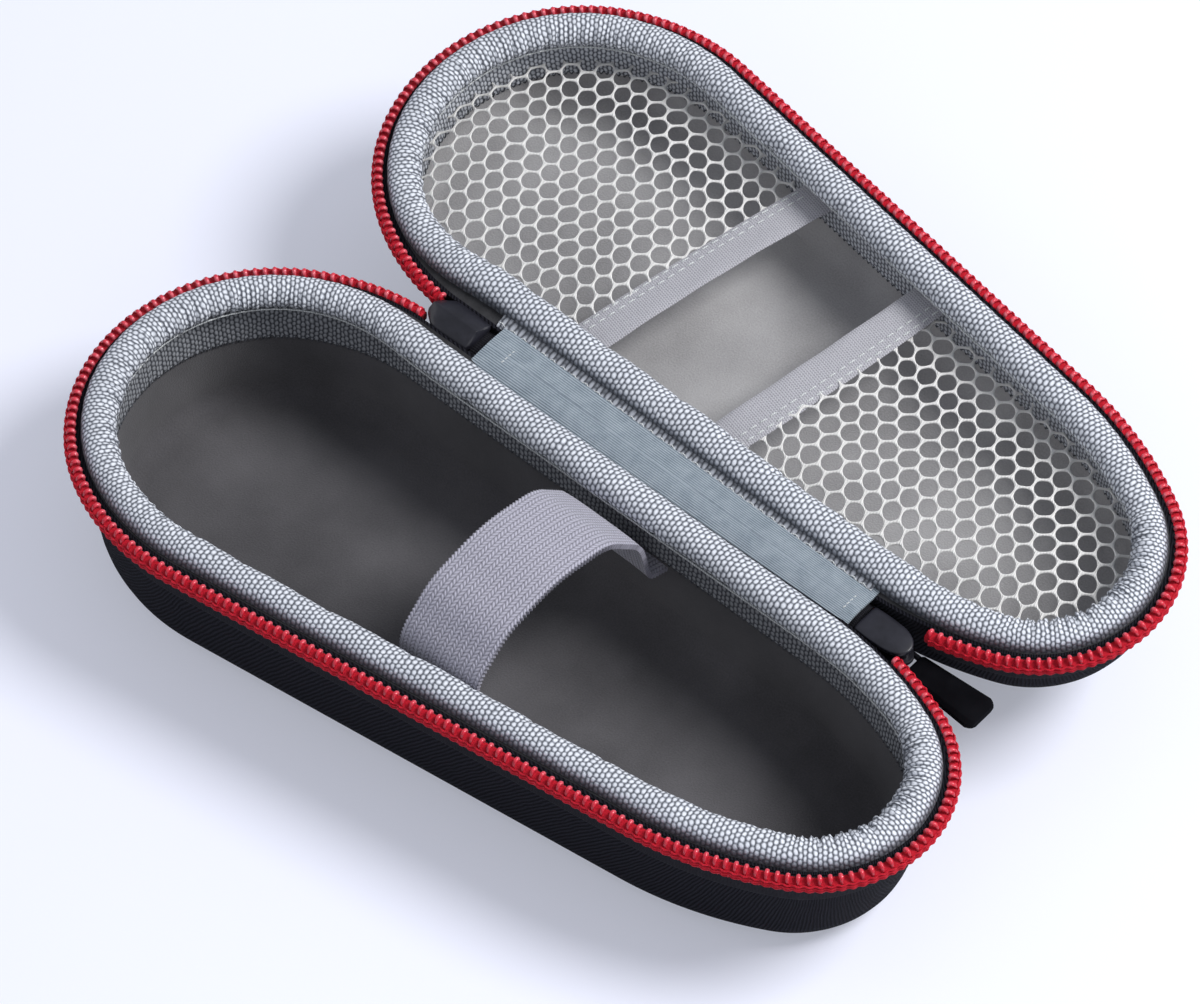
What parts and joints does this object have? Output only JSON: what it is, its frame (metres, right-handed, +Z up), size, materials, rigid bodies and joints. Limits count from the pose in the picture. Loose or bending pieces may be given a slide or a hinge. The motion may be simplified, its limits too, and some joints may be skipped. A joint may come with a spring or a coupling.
{
  "type": "zipped shaver case",
  "caption": "Zipped hard travel case for an electric shaver, lying open: deep base with a holding strap, shallower lid with two mesh pockets, fabric hinge and zip pulls.",
  "frame": {"origin": "On the table under the middle of the opened case: midway along its length and its width.", "axes": "+X along the hinge from the wide head end to the narrow foot end, +Y from the deep base half across the hinge to the lid half, +Z up from the table."},
  "size_m": [0.2128, 0.179, 0.048],
  "materials": {
    "black_twill": "fine diagonal rib, slight sheen",
    "eva_foam": "closed-cell moulded foam, matte",
    "grey_velour": "short pile, matte",
    "white_foam": "open-cell foam, matte",
    "grey_mesh": "knitted mesh, matte",
    "black_tape": "woven tape, matte",
    "red_zip": "satin nylon",
    "lilac_elastic": "ribbed elastic, matte",
    "white_net": "knitted net, slight sheen",
    "grey_elastic": "woven elastic, matte",
    "grey_thread": "sewing thread",
    "blue_ribbon": "grosgrain, slight sheen",
    "black_enamel": "satin enamel on a zinc casting",
    "black_rubber": "moulded soft plastic, satin"
  },
  "bodies": {
    "base": {"base_cover": "black_twill", "base_shell": "eva_foam", "base_lining": "grey_velour", "base_rim_foam": "white_foam", "base_binding": "grey_mesh", "base_wall_trim": "grey_mesh", "base_zip_tape": "black_tape", "base_zip_teeth": "red_zip", "strap": "lilac_elastic"},
    "hinge": {"hinge_ribbon": "blue_ribbon", "hinge_cover": "black_tape", "ribbon_stitches": "grey_thread", "head_tape_end": "black_tape", "foot_tape_end": "black_tape", "head_slider": "black_enamel", "foot_slider": "black_enamel"},
    "lid": {"lid_cover": "black_twill", "lid_shell": "eva_foam", "lid_lining": "grey_velour", "lid_rim_foam": "white_foam", "lid_binding": "grey_mesh", "lid_wall_trim": "grey_mesh", "lid_zip_tape": "black_tape", "lid_zip_teeth": "red_zip", "head_pocket_net": "white_net", "head_pocket_band": "grey_elastic", "head_band_stitches": "grey_thread", "foot_pocket_net": "white_net", "foot_pocket_band": "grey_elastic", "foot_band_stitches": "grey_thread"},
    "head_pull": {"head_pull_loop": "black_enamel", "head_pull_grip": "black_rubber"},
    "foot_pull": {"foot_pull_loop": "black_enamel", "foot_pull_grip": "black_rubber"}
  },
  "joints": [
    {"name": "hinge_fold", "type": "hinge", "parent": "base", "child": "hinge", "pos_m": [0, -0.0034, 0.03215], "axis": [1, 0, 0], "range_deg": [-7, 86.45], "deforming": ["base_binding", "base_rim_foam", "lid_binding", "lid_rim_foam", "strap"]},
    {"name": "lid_fold", "type": "hinge", "parent": "hinge", "child": "lid", "pos_m": [0, 0.00339, 0.03257], "axis": [1, 0, 0], "range_deg": [-7, 86.45]},
    {"name": "head_pull_swing", "type": "hinge", "parent": "hinge", "child": "head_pull", "pos_m": [-0.0542, 0.00028, 0.02767], "axis": [0, 0.9981, 0.0619], "range_deg": [-85, 90]},
    {"name": "foot_pull_swing", "type": "hinge", "parent": "hinge", "child": "foot_pull", "pos_m": [0.066, 0.00028, 0.02767], "axis": [0, 0.9981, 0.0619], "range_deg": [0, 170]}
  ],
  "couplings": [
    {"joint": "lid_fold", "follows": "hinge_fold", "ratio": 1}
  ]
}
